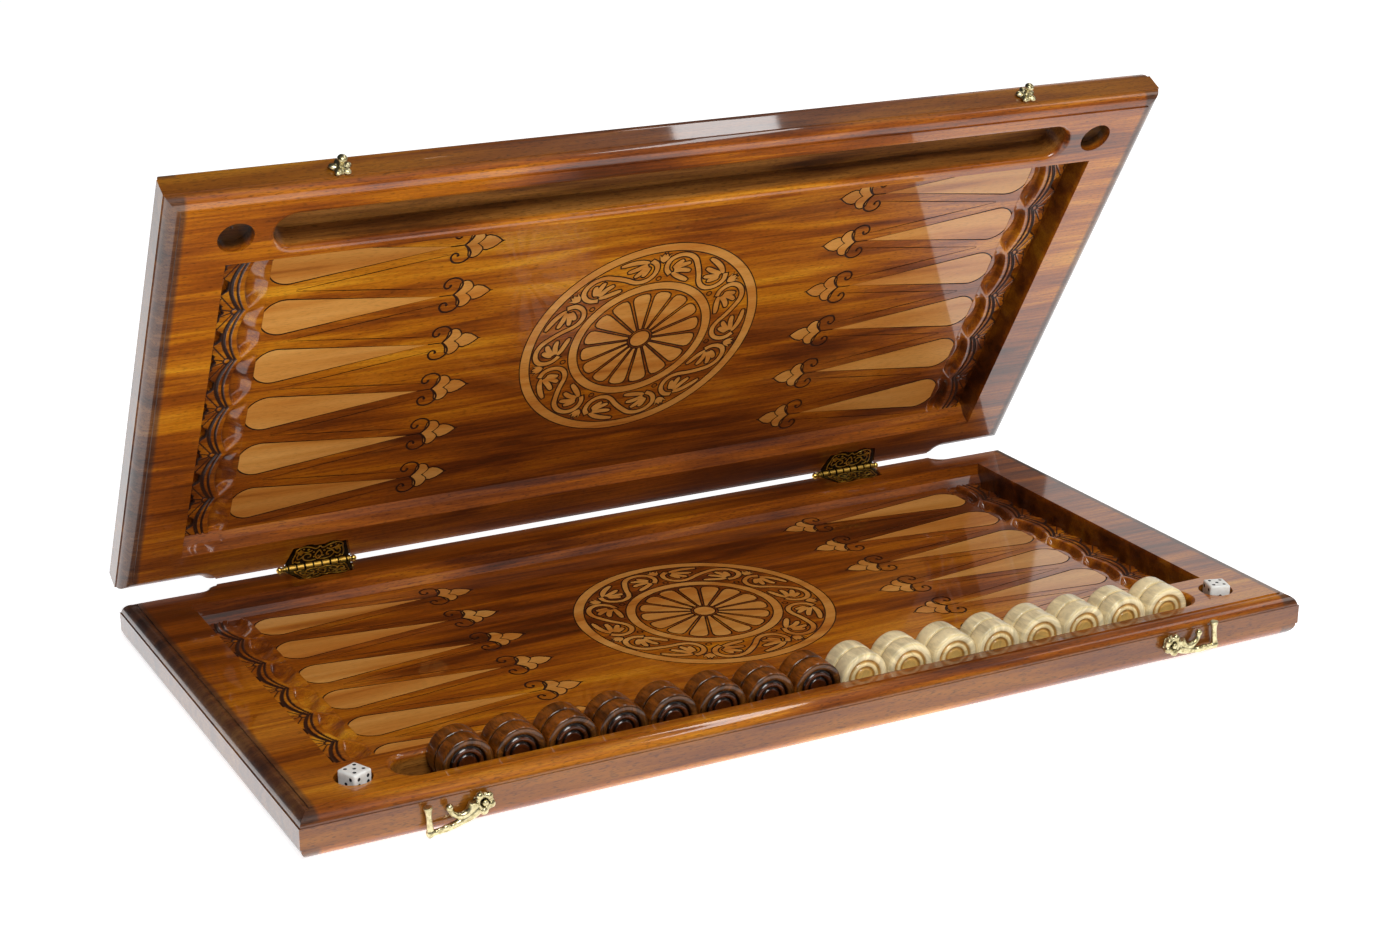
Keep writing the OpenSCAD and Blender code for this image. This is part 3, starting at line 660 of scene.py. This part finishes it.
def fieldMesh(half, ySign):
    # The field's skin, cut up along every outline; cut faces drop to the floor below.
    b = board
    top, floor, base = b["fieldTop"], b["fieldTop"] - 0.55, b["cadFloor"] - 0.3
    x, near, far = b["bedHalf"], b["fieldNear"], b["fieldFar"]
    shapes = fieldShapes(engraving["firstScroll"][half])
    verts, faces = [], []
    border = [(-x, near), (x, near), (x, far), (-x, far)]
    faces.append(list(range(4)))
    verts += [Vector(p) for p in border]
    for kind, outline in shapes:
        clipped = [(min(max(px, -x), x), min(max(py, near), far)) for px, py in outline]
        if signedArea(clipped) < 0:
            clipped.reverse()
        start = len(verts)
        verts += [Vector(p) for p in clipped]
        faces.append(list(range(start, len(verts))))
    out = delaunay_2d_cdt(verts, [], faces, 1, 1e-5, True)
    flat, flatFaces, owners = out[0], out[2], out[5]
    kinds = []
    for own in owners:
        last = max(own) if own else 0
        kinds.append("ground" if last == 0 else shapes[last - 1][0])
    # cut faces are lowered, so an edge between a cut and another face gets a wall
    points, index, polys, slots = [], {}, [], []

    def vertex(i, z):
        key = (i, z)
        if key not in index:
            index[key] = len(points)
            points.append((flat[i].x * mm, ySign * flat[i].y * mm, z * mm))
        return index[key]

    slotOf = {"ground": 0, "pale": 1, "cut": 2}
    level = {"ground": top, "pale": top, "cut": floor}
    edgeUse = {}
    for f, kind in zip(flatFaces, kinds):
        f = list(f)
        for a, c in zip(f, f[1:] + f[:1]):
            edgeUse[(a, c)] = level[kind]
        polys.append([vertex(i, level[kind]) for i in f])
        slots.append(slotOf[kind])
    for (a, c), z in edgeUse.items():
        other = edgeUse.get((c, a), base)
        if other < z - 1e-6:
            polys.append([vertex(c, z), vertex(a, z), vertex(a, other), vertex(c, other)])
            slots.append(2 if other > base else 0)
    # underside, so that the piece is closed
    bottom = [(a, c) for (a, c) in edgeUse if (c, a) not in edgeUse]
    middle = len(points)
    points.append((0, ySign * (near + far) / 2 * mm, base * mm))
    for a, c in bottom:
        polys.append([vertex(c, base), vertex(a, base), middle])
        slots.append(0)
    if ySign < 0:
        polys = [p[::-1] for p in polys]
    mesh = bpy.data.meshes.new(half + "_field")
    mesh.from_pydata(points, [], polys)
    for slotMaterial in (fieldWood[half], naturalBeech, burntGroove):
        mesh.materials.append(slotMaterial)
    mesh.polygons.foreach_set("material_index", slots)
    mesh.validate()
    mesh.update()
    return mesh


for half, (body, place, ySign) in halves.items():
    field = linkMesh(half + "_engraved_field", fieldMesh(half, ySign), place)
    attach(field, body)
print("fields engraved")


# carved strips at the two ends

carving = {
    "step": 0.48,          # mm between carved points
    "cusp": 61.5,          # mm from the hinge line to the second cusp of the ribbon
    "innerLine": 247.0,    # mm from the middle of the board to the ribbon's inner line at a cusp
    "swing": 5.0,          # mm that the line moves out between cusps
    "bowlDepth": 4.4,      # mm
    "channelDepth": 4.3,
    "shear": 0.8,          # lean of the bowls along the strip
    "leafReach": 17.0,     # mm along the strip either side of a cusp
    "leafSwell": 7.2,      # mm that the leaves stand out from the ribbon
    "lobe": 5.2,           # mm along the strip for each lobe
    "veins": 5,
    "burntFrom": 0.5,      # faces whose mean scorch and painted shade is above this take the burnt finish; only the scorched lines reach it
}


def ease(v):
    v = min(max(v, 0.0), 1.0)
    return v * v * (3 - 2 * v)


def carvedHeight(u, s):
    # u is |x| and s the distance from the hinge line, in mm; returns (height, scorch and painted shade)
    c = carving
    pitch = engraving["pitch"]
    phase = ((s - c["cusp"]) / pitch) % 1.0
    arc = math.sin(math.pi * phase) ** 0.85
    innerLine = c["innerLine"] + c["swing"] * arc
    outerLine = innerLine + 2.0 + 1.7 * arc
    wall = innerLine - 2.9 - 0.6 * arc
    depth, scorchAndShade = 0.0, 0.0
    # scooped bowls between the ribbon and the points
    shearPhase = ((s - c["cusp"] - (wall - u) * c["shear"]) / pitch) % 1.0
    across = ease(shearPhase / 0.12) * ease((1 - shearPhase) / 0.24)
    pointGap = abs(((s - engraving["firstPoint"]) / pitch + 0.5) % 1.0 - 0.5) * pitch
    edge = 224.5 + math.sqrt(max(0.0, 14.2 ** 2 - min(pointGap, 14.2) ** 2)) if pointGap < 11 else 235.0
    edge = max(edge, 235.2 if pointGap > 9 else 236.0)
    if u < wall:
        depth = -c["bowlDepth"] * across * ease((wall - u) / 1.5) * ease((u - edge) / 8.5) ** 0.7
        # painted shadow on the steep side of each bowl
        scorchAndShade = 0.42 * across * ease((wall - u) / 1.2) * ease((3.4 - (wall - u)) / 2.2)
    # leaf cluster outside each cusp, with its lobed outline and its veins
    t = ((phase + 0.5) % 1.0 - 0.5) * pitch      # mm along the strip from the cusp
    leafEdge = outerLine + 0.9
    if abs(t) < c["leafReach"]:
        swell = ease((c["leafReach"] - abs(t)) / 6.5)
        lobe = 1.3 * abs(math.sin(math.pi * (t + 0.8) / c["lobe"])) ** 0.6
        leafEdge = outerLine + 0.9 + (c["leafSwell"] - 2.6 * arc + lobe) * swell
        if outerLine + 0.6 < u < leafEdge:
            out, along = u - 251.6, t + 0.6
            r = math.hypot(out, along)
            vein = abs(math.sin(c["veins"] * math.atan2(out, along))) * r / c["veins"]
            if r > 2.6:
                scorchAndShade = max(scorchAndShade, ease((0.42 - vein) / 0.22))
                depth = min(depth, -0.6 * ease((0.75 - vein) / 0.6))
            scorchAndShade = max(scorchAndShade, ease(1.6 - abs(r - 2.0) / 0.45))
            depth = min(depth, -0.35 - 0.5 * ease(1 - abs(r - 2.0) / 0.9))
    # two scorched lines along the ribbon
    for line, halfWidth in ((innerLine, 0.55), (outerLine, 0.85)):
        d = abs(u - line)
        if d < halfWidth * 1.8:
            depth = min(depth, -0.9 * ease(1 - d / (halfWidth * 1.8)))
            scorchAndShade = max(scorchAndShade, ease((halfWidth * 1.5 - d) / 0.4))
    # channel against the end wall, with the leaves' dark outline on its edge and painted shade
    # darkening it towards the end wall
    if u > leafEdge:
        depth = min(depth, -c["channelDepth"] * ease((u - leafEdge) / 2.4) ** 0.7 - 0.2)
        scorchAndShade = max(scorchAndShade, ease((1.0 - (u - leafEdge)) / 0.5), 0.35 * ease((u - 261.5) / 3.0))
    elif u > leafEdge - 0.45:
        scorchAndShade = 1.0
    return depth, scorchAndShade


def carvedStrip(half, ySign, side):
    b = board
    step = carving["step"]
    u0, u1 = b["bedHalf"] - 0.02, b["fieldHalf"] + 0.3
    s0, s1 = b["fieldNear"] - 0.6, b["fieldFar"] + 0.3
    nu, ns = int((u1 - u0) / step) + 1, int((s1 - s0) / step) + 1
    verts, scorchAndShadeValues = [], []
    for j in range(ns + 1):
        s = s0 + (s1 - s0) * j / ns
        for i in range(nu + 1):
            u = u0 + (u1 - u0) * i / nu
            h, scorchAndShade = carvedHeight(u, s)
            if i == 0:
                h, scorchAndShade = 0.0, 0.0
            h = max(h, b["bedFloor"] - b["fieldTop"] + 0.15)
            verts.append((side * u * mm, ySign * s * mm, (b["fieldTop"] + h) * mm))
            scorchAndShadeValues.append(scorchAndShade)
    faces = []
    row = nu + 1
    for j in range(ns):
        for i in range(nu):
            a = j * row + i
            faces.append((a, a + 1, a + row + 1, a + row))
    # skirt and underside
    rim = ([i for i in range(row)] + [j * row + nu for j in range(1, ns + 1)]
           + [ns * row + i for i in range(nu - 1, -1, -1)] + [j * row for j in range(ns - 1, 0, -1)])
    start = len(verts)
    low = (b["bedFloor"] - 0.2) * mm
    for i in rim:
        verts.append((verts[i][0], verts[i][1], low))
        scorchAndShadeValues.append(0.0)
    count = len(rim)
    for k in range(count):
        m = (k + 1) % count
        faces.append((rim[m], rim[k], start + k, start + m))
    faces.append(tuple(start + k for k in reversed(range(count))))
    if side * ySign < 0:
        faces = [tuple(reversed(f)) for f in faces]
    mesh = bpy.data.meshes.new(half + "_strip")
    mesh.from_pydata(verts, [], faces)
    mesh.materials.append(carvedWood[half])
    mesh.materials.append(burntGroove)
    layer = mesh.attributes.new("scorchAndShade", "FLOAT", "POINT")
    layer.data.foreach_set("value", scorchAndShadeValues)
    for face in mesh.polygons[:ns * nu]:
        face.use_smooth = True
        meanScorchAndShade = sum(scorchAndShadeValues[i] for i in face.vertices) / len(face.vertices)
        face.material_index = int(meanScorchAndShade > carving["burntFrom"])
    mesh.update()
    return mesh


for half, (body, place, ySign) in halves.items():
    for side, word in ((-1, "left"), (1, "right")):
        strip = linkMesh(half + "_" + word + "_carved_strip", carvedStrip(half, ySign, side), place)
        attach(strip, body)
print("ends carved")


# draughtsmen

draughtsman = {
    # radius and half thickness in mm, from the middle of a face to the rim
    "profile": [(0.0, 3.9), (2.2, 4.0), (3.8, 4.3), (4.5, 4.55), (4.9, 4.4), (5.3, 3.7), (5.8, 3.7),
                (6.2, 4.5),
                (6.8, 4.8), (7.8, 4.85), (8.3, 4.6), (8.8, 3.8), (9.4, 3.75), (9.8, 4.5), (10.4, 4.9),
                (11.4, 5.03),
                (12.4, 5.02), (13.1, 4.9), (13.6, 4.6), (13.9, 4.05), (14.0, 3.2), (14.0, 0.0)],
    "around": 72,
}


def turnedMesh(name, profile, around, material):
    ring = list(profile) + [(r, -z) for r, z in reversed(profile[:-1])]
    mesh = bpy.data.meshes.new(name)
    verts, faces = [(0, 0, ring[0][1] * mm)], []
    for r, z in ring[1:-1]:
        for k in range(around):
            a = 2 * math.pi * k / around
            verts.append((r * math.cos(a) * mm, r * math.sin(a) * mm, z * mm))
    verts.append((0, 0, ring[-1][1] * mm))
    rows = len(ring) - 2
    for k in range(around):
        m = (k + 1) % around
        faces.append((0, 1 + k, 1 + m))
        for j in range(rows - 1):
            a = 1 + j * around
            faces.append((a + k, a + around + k, a + around + m, a + m))
        a = 1 + (rows - 1) * around
        faces.append((a + m, a + k, len(verts) - 1))
    mesh.from_pydata(verts, [], faces)
    mesh.materials.append(material)
    for face in mesh.polygons:
        face.use_smooth = True
    mesh.update()
    return mesh


manMeshes = {"dark": turnedMesh("dark_draughtsman", draughtsman["profile"], draughtsman["around"],
                                darkTurned),
             "light": turnedMesh("light_draughtsman", draughtsman["profile"], draughtsman["around"],
                                 lightTurned)}
for shade in manMeshes:
    for row in ("front", "back"):
        for i in range(1, 9):
            name = f"{shade}_man_{row}_{i}"
            low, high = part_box(name)
            # every disc lies turned its own way
            spin = i * 67 + (31 if row == "back" else 0) + (13 if shade == "dark" else 0)
            place = (Matrix.Translation((low + high) / 2) @ Matrix.Rotation(math.radians(90), 4, "X")
                     @ Matrix.Rotation(math.radians(spin % 360), 4, "Z"))
            man = linkMesh(name + "_turned", manMeshes[shade], place)
            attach(man, name)
            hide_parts(name)
print("draughtsmen turned")


# dice

dice = {"side": 12.0, "rounding": 1.1, "pipRadius": 1.1, "pipRise": 0.5, "spread": 3.12, "faces": {
    "+z": 5, "-z": 2, "-y": 6, "+y": 1, "-x": 3, "+x": 4}}
pipLayouts = {1: [(0, 0)], 2: [(1, 1), (-1, -1)], 3: [(0, 0), (1, -1), (-1, 1)],
              4: [(1, 1), (1, -1), (-1, 1), (-1, -1)], 5: [(0, 0), (1, 1), (1, -1), (-1, 1), (-1, -1)],
              6: [(1, 1), (1, 0), (1, -1), (-1, 1), (-1, 0), (-1, -1)]}
faceTurns = {"+z": Matrix.Identity(4), "-z": Matrix.Rotation(math.pi, 4, "X"),
             "-y": Matrix.Rotation(math.pi / 2, 4, "X"), "+y": Matrix.Rotation(-math.pi / 2, 4, "X"),
             "+x": Matrix.Rotation(math.pi / 2, 4, "Y"), "-x": Matrix.Rotation(-math.pi / 2, 4, "Y")}


def dieMesh():
    # a rounded cube with the pips drilled out; the drilled skin keeps the paint's slot
    cutter, body = bmesh.new(), bmesh.new()
    for key, number in dice["faces"].items():
        for a, c in pipLayouts[number]:
            place = faceTurns[key] @ Matrix.Translation(Vector((
                a * dice["spread"], c * dice["spread"], dice["side"] / 2 + dice["pipRise"])) * mm)
            bmesh.ops.create_icosphere(cutter, subdivisions=3, radius=dice["pipRadius"] * mm,
                                       matrix=place)
    for face in cutter.faces:
        face.material_index = 1
    bmesh.ops.create_cube(body, size=dice["side"] * mm)
    bmesh.ops.bevel(body, geom=body.edges[:], offset=dice["rounding"] * mm, segments=4, profile=0.5,
                    affect="EDGES", clamp_overlap=True)
    pieces = []
    for name, work in (("die_cutter", cutter), ("die_blank", body)):
        mesh = bpy.data.meshes.new(name)
        work.to_mesh(mesh)
        work.free()
        mesh.materials.append(bonePlastic)
        mesh.materials.append(pipPaint)
        pieces.append(linkMesh(name, mesh))
    drill = pieces[1].modifiers.new("drill", "BOOLEAN")
    drill.object, drill.operation, drill.solver = pieces[0], "DIFFERENCE", "EXACT"
    made = settledMesh(pieces[1], "die")
    bpy.data.objects.remove(pieces[0])
    for face in made.polygons:
        face.use_smooth = True
    made.set_sharp_from_angle(angle=math.radians(50))
    return made


dieShape = dieMesh()
for side, turn in (("left", 25), ("right", 163)):
    low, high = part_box(side + "_die")
    place = Matrix.Translation((low + high) / 2) @ Matrix.Rotation(math.radians(turn), 4, "Z")
    marked = linkMesh(side + "_die_drilled", dieShape, place)
    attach(marked, side + "_die")
    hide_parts(side + "_die")
print("dice drilled")


# latches, their pivots and the lid's catches, cast in brass

castings = {
    "across": 207.5,       # mm from the middle to each latch
    "dropBelowRim": 11.8, "riseAboveRim": 11.3,   # mm
    "droop": {"left": 20, "right": 10},           # degrees
    "armOut": 3.4,         # mm from the face to the middle of the arm
    "voxel": 0.28,         # mm
}


def addBar(work, points, radii, around=14):
    # round bar through the points, with its own radius at each
    rings = []
    points = [Vector(p) * mm for p in points]
    side = None
    for i, p in enumerate(points):
        along = (points[min(i + 1, len(points) - 1)] - points[max(i - 1, 0)]).normalized()
        if side is None:
            side = along.orthogonal().normalized()
        side = (side - along * side.dot(along)).normalized()
        other = along.cross(side)
        turns = [2 * math.pi * k / around for k in range(around)]
        rings.append([work.verts.new(p + (side * math.cos(a) + other * math.sin(a)) * radii[i] * mm)
                      for a in turns])
    for a, c in zip(rings, rings[1:]):
        for k in range(around):
            m = (k + 1) % around
            work.faces.new((a[k], a[m], c[m], c[k]))
    work.faces.new(rings[0][::-1])
    work.faces.new(rings[-1])


def addBall(work, at, radius, stretch=(1, 1, 1), turn=0.0):
    place = (Matrix.Translation(Vector(at) * mm) @ Matrix.Rotation(math.radians(turn), 4, "Z")
             @ Matrix.Diagonal((stretch[0], stretch[1], stretch[2], 1)))
    bmesh.ops.create_icosphere(work, subdivisions=3, radius=radius * mm, matrix=place)


def fusedMesh(name, work):
    # one skin over all the overlapping shapes, softened as a casting is
    mesh = bpy.data.meshes.new(name)
    work.to_mesh(mesh)
    work.free()
    source = linkMesh(name, mesh)
    fuse = source.modifiers.new("fuse", "REMESH")
    fuse.mode, fuse.voxel_size = "VOXEL", castings["voxel"] * mm
    soften = source.modifiers.new("soften", "SMOOTH")
    soften.factor, soften.iterations = 0.5, 7
    made = settledMesh(source, name)
    made.materials.clear()
    made.materials.append(paleBrass)
    for face in made.polygons:
        face.use_smooth = True
    return made


def easedRadii(values, count):
    # radii spread evenly along count points
    out = []
    for i in range(count):
        t = i / (count - 1) * (len(values) - 1)
        k = min(int(t), len(values) - 2)
        out.append(values[k] + (values[k + 1] - values[k]) * (t - k))
    return out


def latchMesh():
    work, z = bmesh.new(), castings["armOut"]
    ring = [(3.5 * math.cos(math.radians(a)), 3.5 * math.sin(math.radians(a)), z) for a in range(0, 361,
                                                                                                 15)]
    addBar(work, ring, [1.6] * len(ring))
    for i in range(5):
        # lobes round the eye, longest towards the arm
        a = 72 * i + 6
        reach = 4.3 + 0.6 * math.cos(math.radians(a))
        addBall(work, (reach * math.cos(math.radians(a)), reach * math.sin(math.radians(a)), z + 0.4),
                1.0,
                (2.2, 2.25, 1.95), a)
    arm = [(15 + 40.9 * math.cos(math.radians(a)), 38 + 40.9 * math.sin(math.radians(a)), z)
           for a in (254 + 37.5 * i / 20 for i in range(21))]
    addBar(work, arm, easedRadii([2.9, 3.0, 2.6, 2.15, 1.85, 1.9, 1.7, 1.55, 1.8], len(arm)))
    curl = [(10.5 + 6.4 * math.cos(math.radians(a)), 5.8 + 6.4 * math.sin(math.radians(a)), z + 0.1)
            for a in (206 + 172 * i / 16 for i in range(17))]
    addBar(work, curl, easedRadii([2.6, 2.5, 2.2, 1.85, 1.6, 1.45, 1.3], len(curl)))
    addBall(work, (16.7, 7.2, z + 0.1), 2.0)
    for at, radius in (((22.4, -0.9, z + 0.9), 1.35), ((18.6, -1.9, z + 1.1), 1.2),
                       ((25.8, -0.5, z + 0.6), 1.1)):
        addBall(work, at, radius, (1.5, 1, 1), -6)
    addBall(work, (30, 0, z), 2.35)
    addBall(work, (30.9, -1.3, z + 0.3), 1.1)
    lean = math.radians(16)
    post = [(30 - d * math.sin(lean), d * math.cos(lean), z) for d in (0, 2, 4, 6, 8, 10, 11.5, 12.8,
                                                                       13.8, 14.2)]
    addBar(work, post, [2.0, 1.85, 1.65, 1.55, 1.5, 1.55, 1.8, 2.25, 2.5, 2.2])
    return work


def rosetteMesh(petals, reach, size, rise, head, headRise):
    # a ring of petals round a stem with a round head, on its own base
    work = bmesh.new()
    addBar(work, [(0, 0, 0), (0, 0, 0.5), (0, 0, 1.0)], [reach + 0.9, reach + 0.9, reach])
    for i in range(petals):
        a = math.radians(360 / petals * i + 18)
        addBall(work, (reach * math.cos(a), reach * math.sin(a), rise), size, (1.25, 0.86, 0.62),
                math.degrees(a))
    stem = 1.45
    addBar(work, [(0, 0, 0), (0, 0, 2), (0, 0, headRise)], [stem, stem, stem])
    addBall(work, (0, 0, headRise), head, (1, 1, 0.72))
    return work


castBodies = {"latch_pivot": "lower_half", "lid_catch": "lid"}
for side, word in ((-1, "left"), (1, "right")):
    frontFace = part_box("lower_board")[0].y
    across = side * castings["across"] * mm
    onLower = (Matrix.Translation((across, frontFace, rimTop - castings["dropBelowRim"] * mm))
               @ Matrix.Rotation(math.pi / 2, 4, "X"))
    onLid = (lidPlace @ Matrix.Translation((across, hingeLine.y - frontFace,
                                            -castings["riseAboveRim"] * mm))
             @ Matrix.Rotation(-math.pi / 2, 4, "X"))
    mirror = Matrix.Diagonal((side, 1, 1, 1))
    droop = Matrix.Rotation(math.radians(-castings["droop"][word]), 4, "Z")
    for part, spot, work in (
            ("latch", onLower @ mirror @ droop, latchMesh()),
            ("latch_pivot", onLower @ mirror, rosetteMesh(6, 3.0, 1.5, 0.7, 1.7, 5.2)),
            ("lid_catch", onLid @ mirror, rosetteMesh(5, 3.3, 2.5, 1.4, 2.7, 7.3))):
        bmesh.ops.transform(work, matrix=spot, verts=work.verts)
        if side < 0:
            bmesh.ops.reverse_faces(work, faces=work.faces)
        casting = linkMesh(f"{word}_{part}_cast", fusedMesh(f"{word}_{part}", work))
        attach(casting, castBodies.get(part, f"{word}_{part}"))
        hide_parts(f"{word}_{part}")
print("latches cast")


# raised scrolls on the hinge leaves

hingeRelief = {
    "leafTop": -0.1,       # mm
    "halfWidth": 0.46, "flatness": 0.11,
    # strokes by mm along the hinge and away from its axis; each is drawn both ways
    "strokes": [
        [(15.2, 4.2), (15.6, 7.5), (14.6, 12.0), (13.9, 15.6), (10.5, 17.4), (6.0, 16.6), (2.4, 14.6),
         (0.0, 16.4)],
        [(1.2, 4.6), (4.5, 4.2), (8.2, 5.6), (9.6, 8.6), (8.0, 10.8), (5.4, 10.2), (5.0, 8.0),
         (6.6, 7.4)],
        [(9.6, 8.8), (12.2, 7.0), (13.4, 9.2), (12.4, 11.4), (10.8, 10.6)],
        [(4.4, 13.4), (7.4, 12.2), (10.4, 13.4), (11.8, 15.2)],
        [(0.0, 4.8), (1.6, 7.2), (1.9, 9.6), (0.0, 13.0)],
        [(11.0, 4.4), (12.8, 4.2), (14.2, 5.6)],
    ],
    "beads": [(0.0, 7.6, 0.8), (3.3, 11.6, 0.7), (6.9, 14.6, 0.8), (2.7, 7.4, 0.6), (13.2, 13.6, 0.6),
              (9.9, 15.6, 0.6)],
}


def reliefMesh(name, ySign):
    work = bmesh.new()
    spec = hingeRelief
    for mirror in (-1, 1):
        for stroke in spec["strokes"]:
            path = smoothPath([(mirror * x, ySign * s) for x, s in stroke], 4)
            addBar(work, [(x, y, 0) for x, y in path], [spec["halfWidth"]] * len(path), 8)
        for x, s, radius in spec["beads"]:
            addBall(work, (mirror * x, ySign * s, 0), radius)
    bmesh.ops.transform(work, matrix=Matrix.Diagonal((1, 1, spec["flatness"], 1)), verts=work.verts)
    mesh = bpy.data.meshes.new(name)
    work.to_mesh(mesh)
    work.free()
    mesh.materials.append(goldBrass)
    for face in mesh.polygons:
        face.use_smooth = True
    return mesh


for half, (body, place, ySign) in halves.items():
    for side, word in ((-1, "left"), (1, "right")):
        spot = Matrix.Translation((side * hingeLeaf["across"] * mm, 0, hingeRelief["leafTop"] * mm))
        scrolls = linkMesh(f"{word}_{half}_hinge_scrolls", reliefMesh(f"{half}_scrolls", ySign),
                           place @ spot)
        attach(scrolls, body)
print("hinges chased")


# floor, light and camera; the camera is set to the view that the set is shown in

studio = {
    "floorSize": 8.0, "floorDrop": 0.0002,   # m
    "floorGlow": 0.88,
    "world": [(0.25, "#23272E"), (0.55, "#2E2D2C"), (0.8, "#57524C")],   # from the left to the right
    "worldStrength": 1.0,
}

floorMaterial, tree = newMaterial("pale_studio_floor")
speck = addNode(tree, "ShaderNodeTexNoise", {"Scale": 3.0})
tone = addNode(tree, "ShaderNodeValToRGB", {"Fac": speck.outputs["Fac"]},
               stops=[(0.3, "#F1F1F3"), (0.7, "#F4F4F6")])
finishMaterial(tree, addNode(tree, "ShaderNodeBsdfPrincipled", {
    "Base Color": tone.outputs["Color"], "Roughness": 0.9, "Specular IOR Level": 0.1,
    "Emission Color": (1, 1, 1, 1), "Emission Strength": studio["floorGlow"]}))
floorMesh = bpy.data.meshes.new("studio_floor")
span = studio["floorSize"] / 2
floorMesh.from_pydata([(x * span, y * span, -studio["floorDrop"]) for x,
                       y in ((-1, -1), (1, -1), (1, 1), (-1, 1))],
                      [], [(0, 1, 2, 3)])
floor = linkMesh("studio_floor", floorMesh, None, floorMaterial)

world = bpy.data.worlds.new("soft_studio")
bpy.context.scene.world = world
world.use_nodes = True
tree = world.node_tree
tree.nodes.clear()
coords = addNode(tree, "ShaderNodeTexCoord")
split = addNode(tree, "ShaderNodeSeparateXYZ", {"Vector": coords.outputs["Generated"]})
sideRamp = addNode(tree, "ShaderNodeValToRGB", {
    "Fac": addNode(tree, "ShaderNodeMapRange",
                   {"Value": split.outputs["X"], "From Min": -1.0, "From Max": 1.0}).outputs[0]},
    stops=studio["world"])
surround = addNode(tree, "ShaderNodeBackground", {
    "Color": sideRamp.outputs["Color"], "Strength": studio["worldStrength"]})
backdrop = addNode(tree, "ShaderNodeBackground", {"Color": (1, 1, 1, 1), "Strength": 1.0})
ray = addNode(tree, "ShaderNodeLightPath")
both = addNode(tree, "ShaderNodeMixShader",
               {0: ray.outputs["Is Camera Ray"], 1: surround.outputs[0], 2: backdrop.outputs[0]})
out = addNode(tree, "ShaderNodeOutputWorld", {"Surface": both.outputs[0]})


def addSoftbox(name, place, target, size, power):
    lamp = bpy.data.lights.new(name, "AREA")
    lamp.shape = "RECTANGLE"
    lamp.size, lamp.size_y = size
    lamp.energy = power
    made = bpy.data.objects.new(name, lamp)
    bpy.context.scene.collection.objects.link(made)
    made.location = place
    made.rotation_euler = (Vector(target) - Vector(place)).to_track_quat("-Z", "Y").to_euler()


addSoftbox("key_softbox", (-0.4, -1.9, 1.9), (0, 0.15, 0.15), (1.2, 0.8), 50)
addSoftbox("overhead_strip", (0.75, -0.1, 1.6), (0.1, -0.1, 0), (1.8, 0.12), 5)
addSoftbox("right_softbox", (2.2, 1.4, 1.0), (0.1, 0, 0.1), (1.6, 1.6), 6)
addSoftbox("lid_haze", (1.85, -0.95, 1.5), (0.25, 0.3, 0.2), (0.9, 0.9), 5)

view = {"lens": 64.68, "place": (-0.6357, -1.1582, 0.5649), "aim": (0.43237, 0.83830, -0.33214),
        "shift": (0.0346, 0.0059)}
cameraData = bpy.data.cameras.new("main_camera")
cameraData.sensor_width = 36
cameraData.lens = view["lens"]
cameraData.shift_x, cameraData.shift_y = view["shift"]
cameraData.clip_start = 0.05
camera = bpy.data.objects.new("main_camera", cameraData)
bpy.context.scene.collection.objects.link(camera)
camera.location = view["place"]
camera.rotation_euler = Vector(view["aim"]).to_track_quat("-Z", "Y").to_euler()
bpy.context.scene.camera = camera
bpy.context.scene.view_settings.view_transform = "Standard"
print("studio set")
